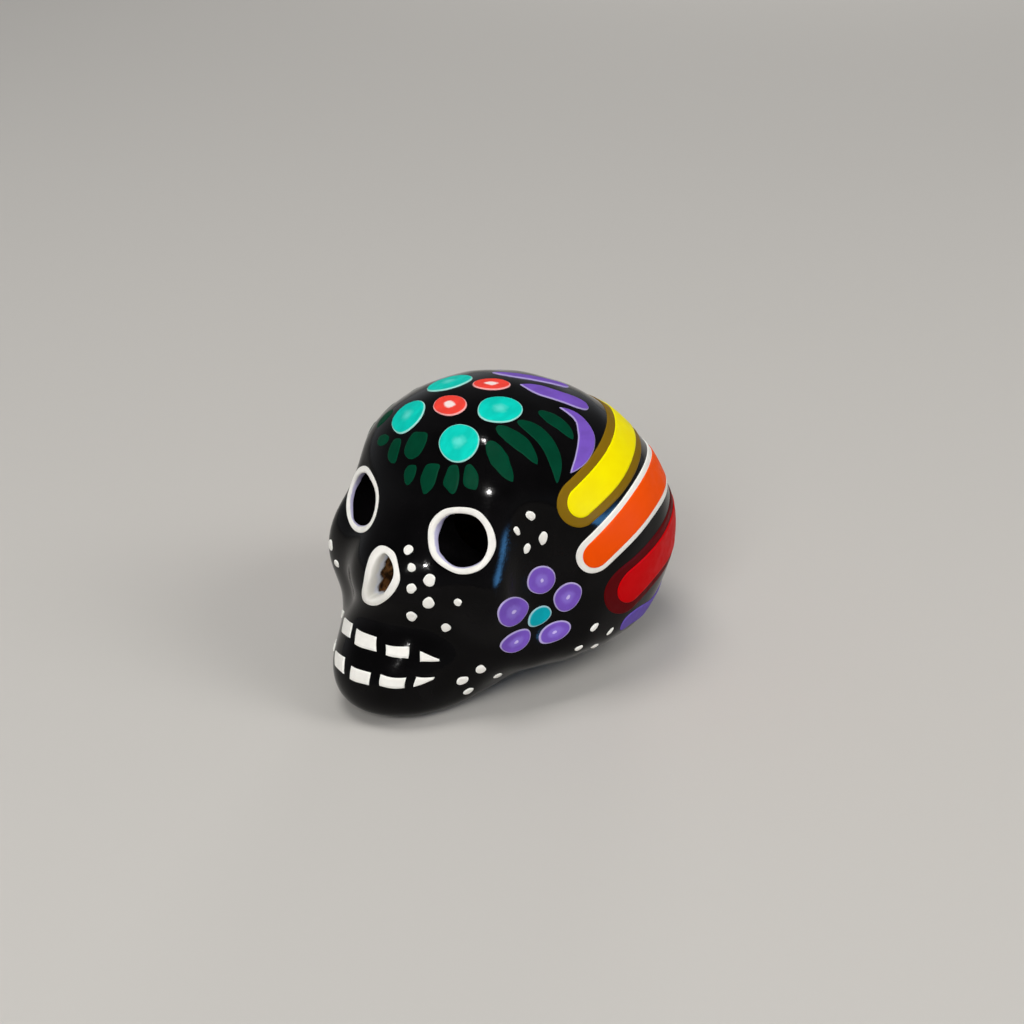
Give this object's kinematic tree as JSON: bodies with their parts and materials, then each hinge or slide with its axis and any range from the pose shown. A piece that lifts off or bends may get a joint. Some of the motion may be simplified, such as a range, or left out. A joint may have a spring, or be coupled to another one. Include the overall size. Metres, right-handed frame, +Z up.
{
  "type": "painted skull ornament",
  "caption": "Small hollow clay skull ornament with pierced eyes and nose, a flat base, and raised hand-painted flowers, leaves, bands and teeth on a glossy black ground.",
  "frame": {"origin": "on the table under the middle of the skull", "axes": "+Z up; the face looks along -Y, so Y runs from the mouth to the back of the head; +X is the skull's left side"},
  "size_m": [0.0462, 0.0582, 0.041],
  "materials": {
    "black_ground": "glossy black ground coat on fired clay",
    "white_paint": "satin opaque white paint, brushed on thick",
    "teal_paint": "satin teal paint dab with a brush ridge",
    "coral_paint": "satin coral red paint dab",
    "green_paint": "satin dark green leaf strokes",
    "purple_paint": "satin light purple paint dab",
    "olive_paint": "satin olive border stroke",
    "yellow_paint": "satin bright yellow stroke",
    "orange_paint": "satin orange stroke",
    "dark_red_paint": "satin dark red border stroke",
    "red_paint": "satin red stroke",
    "violet_paint": "satin blue violet stroke"
  },
  "bodies": {
    "root": {"face_shell": "black_ground", "cranium_shell": "black_ground", "eye_lip_left": "white_paint", "eye_lip_right": "white_paint", "nose_lip": "white_paint", "tooth_upper_1": "white_paint", "tooth_upper_2": "white_paint", "tooth_upper_3": "white_paint", "tooth_upper_4": "white_paint", "tooth_upper_5": "white_paint", "tooth_lower_1": "white_paint", "tooth_lower_2": "white_paint", "tooth_lower_3": "white_paint", "tooth_lower_4": "white_paint", "tooth_lower_5": "white_paint", "crown_centre": "coral_paint", "crown_back": "coral_paint", "crown_front_left": "teal_paint", "crown_front_right": "teal_paint", "crown_back_left": "teal_paint", "crown_back_right": "teal_paint", "leaf_front_1": "green_paint", "leaf_front_2": "green_paint", "leaf_front_3": "green_paint", "leaf_front_4": "green_paint", "leaf_front_5": "green_paint", "leaf_front_6": "green_paint", "leaf_front_7": "green_paint", "leaf_left_1": "green_paint", "leaf_left_2": "green_paint", "leaf_left_3": "green_paint", "leaf_left_4": "green_paint", "leaf_right_1": "green_paint", "leaf_right_2": "green_paint", "leaf_right_3": "green_paint", "leaf_right_4": "green_paint", "purple_stroke_left": "purple_paint", "purple_crescent_left": "purple_paint", "purple_stroke_right": "purple_paint", "purple_crescent_right": "purple_paint", "purple_stroke_middle": "purple_paint", "band_olive": "olive_paint", "band_yellow": "yellow_paint", "band_white": "white_paint", "band_orange": "orange_paint", "band_dark_red": "dark_red_paint", "band_red": "red_paint", "band_violet": "violet_paint", "side_petal_left_1": "purple_paint", "side_petal_left_2": "purple_paint", "side_petal_left_3": "purple_paint", "side_petal_left_4": "purple_paint", "side_petal_left_5": "purple_paint", "side_centre_left": "teal_paint", "side_petal_right_1": "purple_paint", "side_petal_right_2": "purple_paint", "side_petal_right_3": "purple_paint", "side_petal_right_4": "purple_paint", "side_petal_right_5": "purple_paint", "side_centre_right": "teal_paint"}
  },
  "joints": []
}
